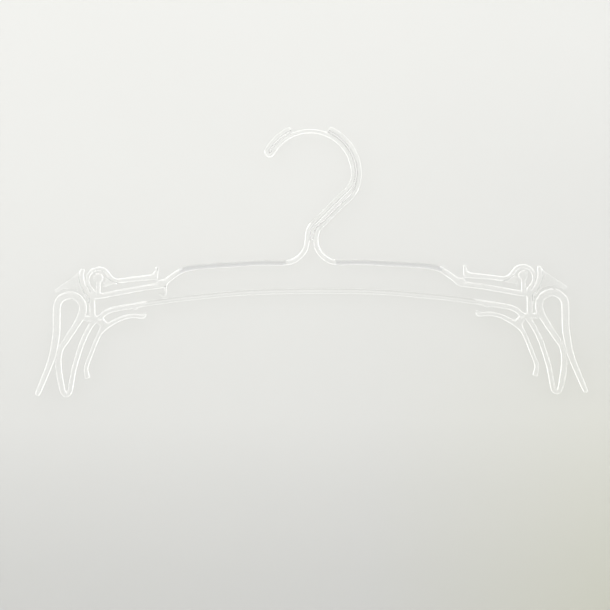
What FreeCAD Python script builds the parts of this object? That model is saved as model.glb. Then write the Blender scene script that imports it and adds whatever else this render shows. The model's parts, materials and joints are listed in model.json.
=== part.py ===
import FreeCAD, Part
import math
import os
import Sketcher
from FreeCAD import Vector

# Clear one-piece clothes hanger for straps and small garments.
#
# Frame: the origin is the centre of the hook's inner circle, at mid-thickness. X runs across the
# hanger, Z is up, Y is through the thickness. The hook opens towards -X. The hook, the neck, the
# inner ends of the top bar and one small tab are one of a kind. The rest is mirrored about the
# plane X = 0, and its outlines are given for the left end (negative X).
#
# Every member is a flat outline on the XZ plane, padded equally to both sides of it. A curved
# member is a ribbon: a centreline table of (x, z, width) stations.

doc = FreeCAD.newDocument("clothes_hanger")

# ---------------------------------------------------------------- driving dimensions (mm, degrees)
DIMENSIONS = [
    ("hook_depth", 4.0),           # hook rims and neck rails, front to back
    ("bar_depth", 4.0),            # top bar, lower bar, struts and blocks
    ("clip_depth", 4.0),           # levers, springs, fingers and jaws
    ("finger_depth", 3.2),         # inner hanging finger
    ("web_depth", 1.4),            # web of the hook's I-section
    ("gusset_depth", 1.0),         # thin pointed web over the pinch clip
    ("heel_depth", 1.2),           # thin web under the root of the strap lever
    ("tab_depth", 2.0),            # size tab
    ("hook_inner_radius", 22.75),  # the circle that rides on the rail
    ("hook_outer_radius", 28.55),
    ("rim_thickness", 2.05),
    ("tip_angle", 61.0),           # tip of the hook, from straight up
    ("seat_angle", 23.5),          # half angle of the size-marker seat in the crown
    ("ring_inner_radius", 5.33),   # C-spring of the pinch clip
    ("ring_outer_radius", 9.32),
    ("ring_end_angle", 16.8),      # where the C-spring stops, below the horizontal
    ("cap_radius", 10.82),         # lower edge of the gusset, concentric with the C-spring
    ("post_radius", 2.64),         # post in the eye of the spring loop
    ("mark_radius", 1.78),         # round moulding mark on the junction
    ("bump_radius", 1.30),         # retaining bump under the lower bar
]
sheet = doc.addObject("Spreadsheet::Sheet", "Dimensions")
sheet.set("A1", "dimension")
sheet.set("B1", "value_mm")
for row, (alias, value) in enumerate(DIMENSIONS, start=2):
    sheet.set("A%d" % row, alias)
    sheet.set("B%d" % row, repr(value))
    sheet.setAlias("B%d" % row, alias)
doc.recompute()


def dim(alias):
    """A driving dimension, read back from the sheet."""
    return float(sheet.get(alias))


# ---------------------------------------------------------------- outlines
# An outline is a closed list of segments, each running from its start to its end. Points are
# (x, z) and angles are degrees from +X towards +Z. A segment with an alias has its centre
# constrained and its radius bound to the sheet.

def line(start, end):
    return ("line", start, end)


def spline(points):
    return ("spline", points)


def arc(centre, radius, from_deg, to_deg, alias=None):
    return ("arc", centre, radius, from_deg, to_deg, alias)


def circle(centre, alias):
    """A whole outline: one circle whose radius is a driving dimension."""
    return [("circle", centre, dim(alias), alias)]


def polyline(points):
    """An open chain of lines."""
    return [line(start, end) for start, end in zip(points, points[1:])]


def polygon(points):
    return polyline(points + points[:1])


def rectangle(x_left, x_right, z_top, z_bottom):
    return polygon([(x_left, z_top), (x_right, z_top), (x_right, z_bottom), (x_left, z_bottom)])


def polar(centre, radius, deg):
    angle = math.radians(deg)
    return (centre[0] + radius * math.cos(angle), centre[1] + radius * math.sin(angle))


def from_up(deg):
    """A clockwise angle from straight up, turned into the angle from +X."""
    return 90.0 - deg


def mirror(outline):
    """The same outline on the other side of the plane X = 0."""
    def flip(point):
        return (-point[0], point[1])

    mirrored = []
    for segment in outline:
        kind = segment[0]
        if kind == "line":
            mirrored.append(line(flip(segment[1]), flip(segment[2])))
        elif kind == "spline":
            mirrored.append(spline([flip(point) for point in segment[1]]))
        elif kind == "arc":
            centre, radius, from_deg, to_deg, alias = segment[1:]
            mirrored.append(arc(flip(centre), radius, 180.0 - from_deg, 180.0 - to_deg, alias))
        else:
            mirrored.append((kind, flip(segment[1])) + segment[2:])
    return mirrored


# ---------------------------------------------------------------- ribbons
# A section is (centre, unit normal, half width). The normal points to the left of the direction
# of travel, so side +1 is the left edge and side -1 the right edge.
SECTIONS_PER_SPAN = 2  # one at each station and one midway to the next


def sections(path):
    """Cross-sections along the smooth centreline through a path of (x, z, width)."""
    points = [Vector(x, 0, z) for x, z, width in path]
    widths = [width for x, z, width in path]
    curve = Part.BSplineCurve()
    curve.interpolate(points)
    params = [curve.parameter(point) for point in points]
    stations = []
    for i in range(len(path) - 1):
        for j in range(SECTIONS_PER_SPAN):
            share = j / float(SECTIONS_PER_SPAN)
            stations.append((params[i] + (params[i + 1] - params[i]) * share,
                             widths[i] + (widths[i + 1] - widths[i]) * share))
    stations.append((params[-1], widths[-1]))

    result = []
    for param, width in stations:
        centre = curve.value(param)
        tangent = curve.tangent(param)[0]
        tangent.normalize()
        result.append(((centre.x, centre.z), (-tangent.z, tangent.x), width / 2.0))
    return result


def level_start(secs):
    """Squares the first section to the horizontal, to follow on from an arc."""
    centre, normal, half_width = secs[0]
    return [(centre, (1.0, 0.0), half_width)] + secs[1:]


def split_at(secs, station):
    """Two runs of sections that share the one at a station of the path."""
    index = SECTIONS_PER_SPAN * station
    return secs[:index + 1], secs[index:]


def edge(secs, side):
    return [(centre[0] + side * half_width * normal[0], centre[1] + side * half_width * normal[1])
            for centre, normal, half_width in secs]


def cap(section, side, style):
    """A flat or round ribbon end, from the edge on one side to the edge on the other."""
    if style == "flat":
        return line(edge([section], side)[0], edge([section], -side)[0])
    centre, normal, half_width = section
    start = math.degrees(math.atan2(normal[1], normal[0]))
    if side < 0:
        start += 180.0
    return arc(centre, half_width, start, start - 180.0)


def ribbon(secs, cap_start="flat", cap_end="flat"):
    return [
        spline(edge(secs, 1.0)),
        cap(secs[-1], 1.0, cap_end),
        spline(edge(secs, -1.0)[::-1]),
        cap(secs[0], -1.0, cap_start),
    ]


# ---------------------------------------------------------------- sketches, pads and members
members = {}  # name -> the object that holds its current shape


def xz_plane(body):
    for feature in body.Origin.OriginFeatures:
        if getattr(feature, "Role", "") == "XZ_Plane":
            return feature
    raise RuntimeError("no XZ plane in " + body.Name)


def geometry(segment):
    """The sketch geometry of a segment, and whether it runs the way the segment does."""
    kind = segment[0]
    if kind == "line":
        return Part.LineSegment(Vector(*segment[1], 0), Vector(*segment[2], 0)), True
    if kind == "spline":
        curve = Part.BSplineCurve()
        curve.interpolate([Vector(x, z, 0) for x, z in segment[1]])
        return curve, True
    full_circle = Part.Circle(Vector(*segment[1], 0), Vector(0, 0, 1), segment[2])
    if kind == "circle":
        return full_circle, True
    start, end = math.radians(segment[3]), math.radians(segment[4])
    return Part.ArcOfCircle(full_circle, min(start, end), max(start, end)), end > start


def add_sketch(body, name, outline):
    sketch = body.newObject("Sketcher::SketchObject", name)
    sketch.AttachmentSupport = (xz_plane(body), [""])
    sketch.MapMode = "FlatFace"
    ids, forward = [], []
    for segment in outline:
        shape, runs_forward = geometry(segment)
        ids.append(sketch.addGeometry(shape, False))
        forward.append(runs_forward)

    if outline[0][0] != "circle":
        # vertex 1 is the start of a piece of geometry and vertex 2 its end
        rules = []
        for i in range(len(ids)):
            j = (i + 1) % len(ids)
            rules.append(Sketcher.Constraint(
                "Coincident", ids[i], 2 if forward[i] else 1, ids[j], 1 if forward[j] else 2))
        for i, segment in enumerate(outline):
            if segment[0] == "spline":
                rules.append(Sketcher.Constraint("Block", ids[i]))
        sketch.addConstraint(rules)

    for i, segment in enumerate(outline):
        alias = segment[-1] if segment[0] in ("arc", "circle") else None
        if alias:
            centre, radius = segment[1:3]
            # geometry -1, vertex 1 is the sketch origin, and vertex 3 is a centre
            sketch.addConstraint([
                Sketcher.Constraint("DistanceX", -1, 1, ids[i], 3, centre[0]),
                Sketcher.Constraint("DistanceY", -1, 1, ids[i], 3, centre[1])])
            number = sketch.addConstraint(Sketcher.Constraint("Radius", ids[i], radius))
            sketch.setExpression("Constraints[%d]" % number, "Dimensions." + alias)
    return sketch


def add_pad(body, sketch, name, depth_alias):
    pad = body.newObject("PartDesign::Pad", name)
    pad.Profile = sketch
    pad.SideType = "Symmetric"
    pad.setExpression("Length", "Dimensions." + depth_alias)
    pad.Refine = False
    body.Tip = pad


def member(name, depth_alias, *outlines):
    """A body of one or more outlines, all padded to the same depth about the mid-plane."""
    body = doc.addObject("PartDesign::Body", name)
    body.Label = name
    for i, outline in enumerate(outlines, start=1):
        sketch = add_sketch(body, "%s_outline_%d" % (name, i), outline)
        add_pad(body, sketch, "%s_pad_%d" % (name, i), depth_alias)
    members[name] = body


def pair(stem, depth_alias, *outlines):
    """The same member at the left end and, mirrored, at the right end."""
    member("left_" + stem, depth_alias, *outlines)
    member("right_" + stem, depth_alias, *[mirror(outline) for outline in outlines])


# ---------------------------------------------------------------- hook, neck and top bar runs
HUB = (0.0, 0.0)
HOOK_INNER = dim("hook_inner_radius")
HOOK_OUTER = dim("hook_outer_radius")
RIM = dim("rim_thickness")
HOOK_MIDDLE = (HOOK_INNER + HOOK_OUTER) / 2.0
WEB_WIDTH = 3.0  # wide enough to reach into both rims, which later trim it
TIP_DEG = from_up(-dim("tip_angle"))
SEAT_LEFT_DEG = from_up(-dim("seat_angle"))
SEAT_RIGHT_DEG = from_up(dim("seat_angle"))

# x, z, width: the inner rim runs down into the neck's left rail and the left half of the top bar
LEFT_HOOK_PATH = [
    (HOOK_INNER + RIM / 2.0, 0.00, RIM), (23.30, -3.30, RIM), (21.85, -6.55, RIM),
    (19.62, -9.24, RIM), (16.82, -11.84, RIM), (10.55, -18.09, RIM), (5.00, -23.64, RIM),
]
LEFT_NECK_PATH = [
    (1.05, -27.58, 2.11), (-0.56, -29.53, 2.22), (-1.50, -31.80, 2.39), (-1.78, -34.41, 2.50),
    (-1.94, -37.19, 2.50), (-2.66, -40.79, 2.55), (-4.44, -44.01, 2.61), (-7.22, -46.73, 2.66),
    (-9.99, -48.29, 2.66),
]
LEFT_BAR_START = (-12.77, -48.95, 2.66)
# x, z, width: the outer rim runs down into the right rail and the right half of the top bar
RIGHT_HOOK_PATH = [
    (HOOK_OUTER - RIM / 2.0, 0.00, RIM), (27.00, -4.40, RIM), (25.78, -8.33, RIM),
    (24.06, -11.38, RIM), (21.65, -13.99, RIM), (18.65, -16.76, RIM), (15.82, -19.40, RIM),
    (10.55, -24.59, RIM),
]
RIGHT_NECK_PATH = [
    (6.66, -28.47, 2.16), (4.77, -30.41, 2.22), (3.61, -32.30, 2.39), (3.05, -34.41, 2.50),
    (2.94, -37.19, 2.50), (3.50, -40.70, 2.55), (5.10, -43.85, 2.61), (7.70, -46.50, 2.66),
    (10.50, -48.20, 2.66),
]
RIGHT_BAR_START = (13.40, -48.95, 2.66)
# x, z, width: the part of the top bar that is the same on both sides, given for the right
OUTER_BAR_PATH = [
    (22.76, -49.10, 2.66), (39.96, -49.73, 2.66), (57.72, -50.78, 2.66), (64.38, -51.39, 2.72),
    (68.82, -52.17, 2.78), (72.15, -53.28, 2.78), (75.48, -55.39, 2.83), (78.81, -57.83, 2.89),
    (80.75, -59.39, 2.94),
]
# x, z, width: the web between the two rims, down into the neck
WEB_PATH = [
    (HOOK_MIDDLE, 0.00, WEB_WIDTH), (25.15, -3.85, WEB_WIDTH), (23.80, -7.45, WEB_WIDTH),
    (21.85, -10.35, WEB_WIDTH), (19.30, -12.95, WEB_WIDTH), (16.00, -15.95, WEB_WIDTH),
    (10.55, -21.35, WEB_WIDTH), (4.80, -27.05, WEB_WIDTH), (2.30, -29.90, 3.2),
    (1.05, -32.40, 3.2), (0.65, -34.60, 3.2), (0.55, -36.35, 3.2),
]


def hook_neck_bar(hook_path, neck_path, bar_path):
    """One smooth run of sections, split where the neck and the bar begin."""
    run = level_start(sections(hook_path + neck_path + bar_path))
    hook_run, rest = split_at(run, len(hook_path))
    neck_run, bar_run = split_at(rest, len(neck_path))
    return hook_run, neck_run, bar_run


left_hook, left_neck, left_bar = hook_neck_bar(
    LEFT_HOOK_PATH, LEFT_NECK_PATH,
    [LEFT_BAR_START] + [(-x, z, width) for x, z, width in OUTER_BAR_PATH])
right_hook, right_neck, right_bar = hook_neck_bar(
    RIGHT_HOOK_PATH, RIGHT_NECK_PATH, [RIGHT_BAR_START] + OUTER_BAR_PATH)


def hook_band(small_radius, big_radius, from_deg, run, small_alias=None, big_alias=None):
    """A concentric band from an angle round to the right-hand horizontal, then along a run."""
    near, far = edge(run, -1.0), edge(run, 1.0)
    near[0], far[0] = (small_radius, 0.0), (big_radius, 0.0)
    return [
        arc(HUB, small_radius, from_deg, 0.0, small_alias),
        spline(near),
        line(near[-1], far[-1]),
        spline(far[::-1]),
        arc(HUB, big_radius, 0.0, from_deg, big_alias),
        line(polar(HUB, big_radius, from_deg), polar(HUB, small_radius, from_deg)),
    ]


member("hook_inner_rim", "hook_depth", hook_band(
    HOOK_INNER, HOOK_INNER + RIM, TIP_DEG, left_hook, small_alias="hook_inner_radius"))
member("hook_outer_rim", "hook_depth", hook_band(
    HOOK_OUTER - RIM, HOOK_OUTER, SEAT_RIGHT_DEG, right_hook, big_alias="hook_outer_radius"))
member("neck_left_rail", "hook_depth", ribbon(left_neck))
member("neck_right_rail", "hook_depth", ribbon(right_neck))

# the free end: outer rim from the seat to the tip, then round the nose to the inner rim
NOSE = polar(HUB, HOOK_MIDDLE, TIP_DEG)
NOSE_RADIUS = (HOOK_OUTER - HOOK_INNER) / 2.0
member("hook_tip_rim", "hook_depth", [
    arc(HUB, HOOK_OUTER, SEAT_LEFT_DEG, TIP_DEG, "hook_outer_radius"),
    arc(NOSE, NOSE_RADIUS, TIP_DEG, TIP_DEG + 180.0),
    line(polar(HUB, HOOK_INNER, TIP_DEG), polar(HUB, HOOK_INNER + RIM, TIP_DEG)),
    arc(NOSE, NOSE_RADIUS - RIM, TIP_DEG + 180.0, TIP_DEG),
    arc(HUB, HOOK_OUTER - RIM, TIP_DEG, SEAT_LEFT_DEG),
    line(polar(HUB, HOOK_OUTER - RIM, SEAT_LEFT_DEG), polar(HUB, HOOK_OUTER, SEAT_LEFT_DEG)),
])

# the web, in two pieces with the seat between them
WEB_INNER = HOOK_MIDDLE - WEB_WIDTH / 2.0
WEB_OUTER = HOOK_MIDDLE + WEB_WIDTH / 2.0
member("hook_tip_web", "web_depth", [
    arc(HUB, WEB_OUTER, SEAT_LEFT_DEG, TIP_DEG),
    arc(NOSE, WEB_WIDTH / 2.0, TIP_DEG, TIP_DEG + 180.0),
    arc(HUB, WEB_INNER, TIP_DEG, SEAT_LEFT_DEG),
    line(polar(HUB, WEB_INNER, SEAT_LEFT_DEG), polar(HUB, WEB_OUTER, SEAT_LEFT_DEG)),
])
member("hook_web", "web_depth", hook_band(
    WEB_INNER, WEB_OUTER, SEAT_RIGHT_DEG, level_start(sections(WEB_PATH))))

# ---------------------------------------------------------------- bars
# x, z, width: left half of the lower bar, without its middle station
HALF_LOWER_BAR_PATH = [
    (-116.27, -78.26, 2.55), (-113.78, -75.98, 2.61), (-110.72, -74.70, 2.66),
    (-107.12, -73.93, 2.66), (-100.46, -72.82, 2.66), (-93.24, -71.71, 2.66),
    (-83.81, -70.26, 2.66), (-75.48, -69.21, 2.66), (-58.83, -67.43, 2.66),
    (-36.63, -65.65, 2.72), (-17.21, -65.05, 2.78),
]
LOWER_BAR_MIDDLE = (0.0, -64.90, 2.83)
BUMP_CENTRE = (-97.70, -73.35)

member("top_bar_left", "bar_depth", ribbon(left_bar))
member("top_bar_right", "bar_depth", ribbon(right_bar))
member("lower_bar", "bar_depth", ribbon(sections(
    HALF_LOWER_BAR_PATH + [LOWER_BAR_MIDDLE]
    + [(-x, z, width) for x, z, width in HALF_LOWER_BAR_PATH[::-1]])))
pair("bar_bump", "bar_depth", circle(BUMP_CENTRE, "bump_radius"))

# ---------------------------------------------------------------- strap slot
# x, z, width: down the guard at the outer end, then inwards along the arm
GUARD_AND_ARM_PATH = [
    (-126.76, -52.90, 2.33), (-127.21, -54.60, 2.50), (-127.26, -57.17, 2.55),
    (-126.54, -60.50, 2.55), (-125.26, -63.27, 2.61), (-123.21, -65.71, 2.66),
    (-120.44, -67.00, 2.78), (-117.40, -67.05, 2.78), (-112.67, -66.21, 2.72),
    (-103.79, -64.55, 2.78), (-94.91, -62.99, 2.78), (-85.47, -61.66, 2.78),
]
ARM_FIRST_STATION = 6
SHOULDER_OUTLINE = [
    (-85.47, -58.11), (-77.40, -58.11), (-80.20, -61.20), (-81.40, -62.10), (-83.40, -62.90),
    (-85.47, -63.05),
]
POST_CENTRE = (-117.94, -56.89)
POST_STEM_OUTLINE = [(-118.95, -57.90), (-116.95, -57.90), (-116.85, -67.00), (-119.15, -67.00)]
TAB_WIDTH = 1.35
# x, z: centreline of the size tab
TAB_POINTS = [
    (-81.00, -60.80), (-80.70, -63.30), (-80.75, -65.60), (-81.95, -66.80), (-83.35, -66.15),
]

guard, arm = split_at(sections(GUARD_AND_ARM_PATH), ARM_FIRST_STATION)
pair("spine_guard", "bar_depth", ribbon(guard, cap_start="round"))
pair("strap_arm", "bar_depth", ribbon(arm))
pair("shoulder_block", "bar_depth", polygon(SHOULDER_OUTLINE))
pair("loop_post", "bar_depth", circle(POST_CENTRE, "post_radius"), polygon(POST_STEM_OUTLINE))
member("left_size_tab", "tab_depth", ribbon(
    sections([(x, z, TAB_WIDTH) for x, z in TAB_POINTS]), cap_end="round"))

# ---------------------------------------------------------------- pinch clip, fixed members
RING_CENTRE = (-133.87, -73.82)
CAP_RADIUS = dim("cap_radius")
CAP_OUTER_DEG, CAP_INNER_DEG = 118.5, 8.0  # ends of the gusset's arc over the C-spring
# the gusset's corners before and after that arc
GUSSET_OUTER_CORNERS = [(-127.60, -53.30), (-142.30, -63.60), (-142.25, -65.15)]
GUSSET_INNER_CORNERS = [(-121.90, -71.00), (-122.20, -66.60), (-127.00, -59.00)]
pair("gusset_web", "gusset_depth",
     polyline(GUSSET_OUTER_CORNERS + [polar(RING_CENTRE, CAP_RADIUS, CAP_OUTER_DEG)])
     + [arc(RING_CENTRE, CAP_RADIUS, CAP_OUTER_DEG, CAP_INNER_DEG, "cap_radius")]
     + polyline([polar(RING_CENTRE, CAP_RADIUS, CAP_INNER_DEG)] + GUSSET_INNER_CORNERS
                + GUSSET_OUTER_CORNERS[:1]))

pair("vertical_strut", "bar_depth",
     rectangle(x_left=-122.90, x_right=-119.90, z_top=-67.00, z_bottom=-79.00))

JUNCTION_INNER_X = -117.11
JUNCTION_TOP, JUNCTION_BOTTOM = -77.98, -80.76
pair("end_junction", "bar_depth",
     rectangle(-126.00, JUNCTION_INNER_X, JUNCTION_TOP, JUNCTION_BOTTOM),
     circle((JUNCTION_INNER_X, (JUNCTION_TOP + JUNCTION_BOTTOM) / 2.0), "mark_radius"))

# the straight inner side, the hollow outer side, and the way back up to the first corner
ROOT_CORNERS = [
    (-117.10, -78.80), (-114.89, -80.20), (-113.00, -82.09), (-111.78, -84.20),
    (-114.05, -85.86), (-116.49, -88.25), (-118.27, -87.36),
]
ROOT_HOLLOW = [
    (-118.27, -87.36), (-117.45, -85.47), (-117.16, -83.81), (-117.89, -82.64), (-118.90, -82.25),
]
pair("flexure_root", "bar_depth",
     polyline(ROOT_CORNERS) + [spline(ROOT_HOLLOW)]
     + polyline([ROOT_HOLLOW[-1], (-118.90, -79.80), ROOT_CORNERS[0]]))

# x, z, width
JAW_STRUT_PATH = [
    (-127.35, -77.14, 4.00), (-128.32, -79.70, 3.77), (-129.76, -81.92, 3.50),
    (-131.81, -85.25, 3.27), (-133.76, -88.02, 3.16), (-135.31, -90.58, 3.05),
    (-136.97, -93.02, 2.94), (-138.50, -95.30, 2.70),
]
# x, z, width: down the outer leg, round the foot and up the inner leg
JAW_LOOP_PATH = [
    (-138.58, -94.07, 2.66), (-139.47, -97.40, 2.89), (-140.30, -101.01, 3.11),
    (-140.42, -104.90, 3.22), (-140.08, -109.34, 3.22), (-139.31, -113.78, 3.11),
    (-138.42, -118.49, 2.78), (-137.58, -120.77, 2.61), (-136.14, -121.66, 2.55),
    (-134.64, -120.77, 2.50), (-133.81, -118.49, 2.50), (-132.87, -113.22, 2.50),
    (-131.65, -107.11, 2.50), (-129.76, -100.46, 2.50), (-127.98, -95.18, 2.50),
    (-125.54, -89.36, 2.50), (-123.04, -84.64, 2.55), (-120.27, -80.64, 2.66),
    (-119.33, -79.53, 2.66),
]
pair("jaw_strut", "clip_depth", ribbon(sections(JAW_STRUT_PATH)))
pair("fixed_jaw_loop", "clip_depth", ribbon(sections(JAW_LOOP_PATH)))

# ---------------------------------------------------------------- strap clip, moving members
# x, z, width: a spring loop like a safety pin's coil, then the lever it carries
LOOP_AND_LEVER_PATH = [
    (-121.77, -63.38, 1.89), (-123.21, -61.61, 1.89), (-124.04, -58.55, 1.83),
    (-123.27, -55.17, 1.83), (-120.88, -52.67, 1.89), (-117.55, -51.84, 2.00),
    (-114.22, -52.89, 2.05), (-112.28, -55.11, 2.11), (-110.50, -57.28, 2.11),
    (-107.95, -58.44, 2.05), (-103.23, -58.22, 2.22), (-98.24, -57.66, 2.50),
    (-92.13, -57.11, 2.70), (-88.25, -56.65, 2.75), (-85.25, -56.42, 2.78),
]
LEVER_FIRST_STATION = 9
# the upstand at the inner end of the lever: its corners, then its hollow outer side
UPSTAND_CORNERS = [(-89.80, -56.60), (-84.90, -56.60), (-84.70, -51.30), (-86.20, -51.05)]
UPSTAND_HOLLOW = [
    (-86.20, -51.05), (-86.40, -52.90), (-87.10, -54.30), (-88.40, -55.20), (-89.80, -55.50),
]
HEEL_OUTLINE = [
    (-101.84, -59.00), (-108.78, -58.90), (-112.00, -57.30), (-114.00, -57.20),
    (-114.94, -60.72), (-115.16, -63.05), (-113.61, -61.44), (-109.34, -60.61),
    (-105.45, -59.88),
]

spring_loop, lever = split_at(sections(LOOP_AND_LEVER_PATH), LEVER_FIRST_STATION)
pair("strap_spring_loop", "clip_depth", ribbon(spring_loop))
pair("strap_lever", "clip_depth", ribbon(lever),
     polyline(UPSTAND_CORNERS) + [spline(UPSTAND_HOLLOW)]
     + [line(UPSTAND_HOLLOW[-1], UPSTAND_CORNERS[0])])
pair("lever_heel", "heel_depth", polygon(HEEL_OUTLINE))

# ---------------------------------------------------------------- pinch clip, moving members
RING_INNER, RING_OUTER = dim("ring_inner_radius"), dim("ring_outer_radius")
RING_START_DEG, RING_END_DEG = 180.0, -dim("ring_end_angle")
pair("finger_spring_ring", "clip_depth", [
    arc(RING_CENTRE, RING_INNER, RING_START_DEG, RING_END_DEG, "ring_inner_radius"),
    line(polar(RING_CENTRE, RING_INNER, RING_END_DEG),
         polar(RING_CENTRE, RING_OUTER, RING_END_DEG)),
    arc(RING_CENTRE, RING_OUTER, RING_END_DEG, RING_START_DEG, "ring_outer_radius"),
    line(polar(RING_CENTRE, RING_OUTER, RING_START_DEG),
         polar(RING_CENTRE, RING_INNER, RING_START_DEG)),
])

# x, z, width: down from the outer end of the C-spring
PINCH_FINGER_PATH = [
    (RING_CENTRE[0] - (RING_INNER + RING_OUTER) / 2.0, RING_CENTRE[1], RING_OUTER - RING_INNER),
    (-141.20, -77.00, 4.00), (-141.24, -80.50, 3.97), (-141.36, -86.58, 3.92),
    (-142.15, -92.13, 3.78), (-143.15, -97.68, 3.55), (-144.72, -103.23, 3.25),
    (-146.85, -108.78, 3.05), (-149.15, -114.33, 2.90), (-151.05, -118.77, 2.70),
    (-151.95, -120.90, 2.55),
]
pair("pinch_finger", "clip_depth",
     ribbon(level_start(sections(PINCH_FINGER_PATH)), cap_end="round"))

# ---------------------------------------------------------------- slender cantilevers
# x, z, width
STRAP_HOOK_PATH = [
    (-112.22, -83.03, 2.44), (-109.34, -81.42, 2.39), (-105.45, -79.53, 2.16),
    (-101.01, -78.37, 2.00), (-97.13, -78.14, 2.00), (-94.63, -78.55, 2.10),
    (-92.90, -78.30, 2.10), (-92.40, -77.20, 1.80),
]
INNER_FINGER_PATH = [
    (-117.46, -87.98, 2.00), (-119.33, -91.85, 2.00), (-121.99, -98.51, 2.00),
    (-124.15, -104.06, 2.00), (-125.04, -107.67, 2.11), (-124.65, -110.60, 2.44),
    (-124.04, -112.60, 3.11),
]
pair("strap_hook", "clip_depth", ribbon(sections(STRAP_HOOK_PATH), cap_end="round"))
pair("inner_finger", "finger_depth", ribbon(sections(INNER_FINGER_PATH)))

doc.recompute()

# ---------------------------------------------------------------- trims
# The blanks run into each other at the joints of the frame. One of each pair keeps its shape and
# the other is cut back to it, so that neighbours meet face to face. The order matters: a tool is
# always the finished shape of its member.
TRIMS = [
    ("lower_bar", ["left_end_junction", "right_end_junction"]),
    ("hook_web", ["hook_inner_rim", "hook_outer_rim", "neck_left_rail", "neck_right_rail"]),
    ("hook_tip_web", ["hook_inner_rim", "hook_tip_rim"]),
]
for side in ("left", "right"):
    prefix = side + "_"
    TRIMS += [
        (prefix + "bar_bump", ["lower_bar"]),
        (prefix + "shoulder_block", ["top_bar_" + side, prefix + "strap_arm"]),
        (prefix + "loop_post", [prefix + "strap_arm", prefix + "spine_guard"]),
        (prefix + "vertical_strut",
         [prefix + "strap_arm", prefix + "spine_guard", prefix + "end_junction"]),
        (prefix + "gusset_web",
         [prefix + "spine_guard", prefix + "vertical_strut", prefix + "strap_arm"]),
        (prefix + "flexure_root", [prefix + "end_junction", "lower_bar"]),
        (prefix + "jaw_strut", [prefix + "end_junction"]),
        (prefix + "fixed_jaw_loop",
         [prefix + "jaw_strut", prefix + "end_junction", prefix + "flexure_root"]),
        (prefix + "lever_heel", [prefix + "strap_lever", prefix + "strap_spring_loop"]),
    ]
TRIMS.append(("left_size_tab", ["left_shoulder_block", "top_bar_left", "left_strap_arm"]))

for name, tools in TRIMS:
    trimmed = members[name]
    trimmed.Label = name + "_blank"
    for i, tool in enumerate(tools, start=1):
        cut = doc.addObject("Part::Cut", "%s_trim_%d" % (name, i))
        cut.Base = trimmed
        cut.Tool = members[tool]
        cut.Refine = False
        trimmed = cut
    trimmed.Label = name
    members[name] = trimmed
doc.recompute()

# ---------------------------------------------------------------- checks and export
MIN_VOLUME = 0.5  # mm3

for obj in doc.Objects:
    bad = [state for state in obj.State if state in ("Invalid", "Error")]
    if bad:
        raise RuntimeError("%s is %s" % (obj.Name, bad))
for name, obj in sorted(members.items()):
    shape = obj.Shape
    if shape.isNull() or not shape.isValid():
        raise RuntimeError("%s has no valid shape" % name)
    if len(shape.Solids) != 1 or shape.Volume < MIN_VOLUME:
        raise RuntimeError("%s has %d solids, %.3f mm3" % (name, len(shape.Solids), shape.Volume))

os.makedirs("parts", exist_ok=True)
for name, obj in sorted(members.items()):
    obj.Shape.exportStep(os.path.join("parts", name + ".step"))
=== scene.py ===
# A clear moulded clothes hanger: a hook, a neck, a top bar in two halves, an arched lower bar, and at
# each end a block of struts with four sprung members. It stands in the XZ plane, 4 mm deep along Y,
# with the hook up, its front towards -Y, its left end towards -X and the hook's curve round the origin.
#
# The moulding is one smooth skin with a fillet at every junction. The flat outlines are read from the
# CAD nodes, outlines of the same depth are joined, and a rounded-edge solid is drawn round them as a
# surface net on a fine lattice. The sprung members are nets on the same lattice, so each meets the
# frame on shared points. Geometry is in millimetres until a mesh is written; the stage is in metres.
import json
import math
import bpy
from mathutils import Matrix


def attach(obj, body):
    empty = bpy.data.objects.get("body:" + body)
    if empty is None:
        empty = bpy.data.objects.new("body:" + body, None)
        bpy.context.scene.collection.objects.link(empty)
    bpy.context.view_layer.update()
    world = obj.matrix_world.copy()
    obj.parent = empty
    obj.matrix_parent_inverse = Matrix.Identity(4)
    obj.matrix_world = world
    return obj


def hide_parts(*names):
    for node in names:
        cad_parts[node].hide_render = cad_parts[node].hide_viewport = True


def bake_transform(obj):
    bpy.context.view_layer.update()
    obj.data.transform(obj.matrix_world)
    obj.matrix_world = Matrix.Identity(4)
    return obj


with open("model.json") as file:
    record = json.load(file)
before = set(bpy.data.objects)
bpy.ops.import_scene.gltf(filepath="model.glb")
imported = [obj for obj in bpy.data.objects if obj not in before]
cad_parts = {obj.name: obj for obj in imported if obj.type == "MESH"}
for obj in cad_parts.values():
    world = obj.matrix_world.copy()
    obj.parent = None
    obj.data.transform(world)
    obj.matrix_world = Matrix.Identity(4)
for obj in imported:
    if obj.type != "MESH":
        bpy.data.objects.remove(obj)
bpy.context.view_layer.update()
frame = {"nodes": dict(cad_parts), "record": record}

from types import SimpleNamespace

import bmesh
import bpy
import numpy as np
from mathutils import Matrix, Vector

# ------------------------------------------------------------------ sizes, in millimetres
PITCH = 0.33            # lattice pitch, the same on all three axes
BLUR = 0.30             # softening that rounds an outline's corners and fills its junctions
WEB_BLUR = 0.2          # the same for the thin webs
MARGIN = 2.4            # how far round an outline the distance is worked out
HALF_DEPTH = 2.0        # of the frame and the full-depth members
FULL_DEPTH_FROM = 1.8   # a member with more half depth than this is a full-depth one
EDGE = 1.08             # radius of the long edges of a full-depth member
SHALLOW_EDGE = 0.75     # the same for a shallower member
SEAM_PROBE = 0.07       # how far to each side of an outline solid is looked for
TILE = 24               # lattice points along one side of a block in the distance search
LAYERS = np.arange(-8, 9) * PITCH  # y of the lattice layers, front to back
EVERYWHERE = ((-np.inf, -np.inf), (np.inf, np.inf))


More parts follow.
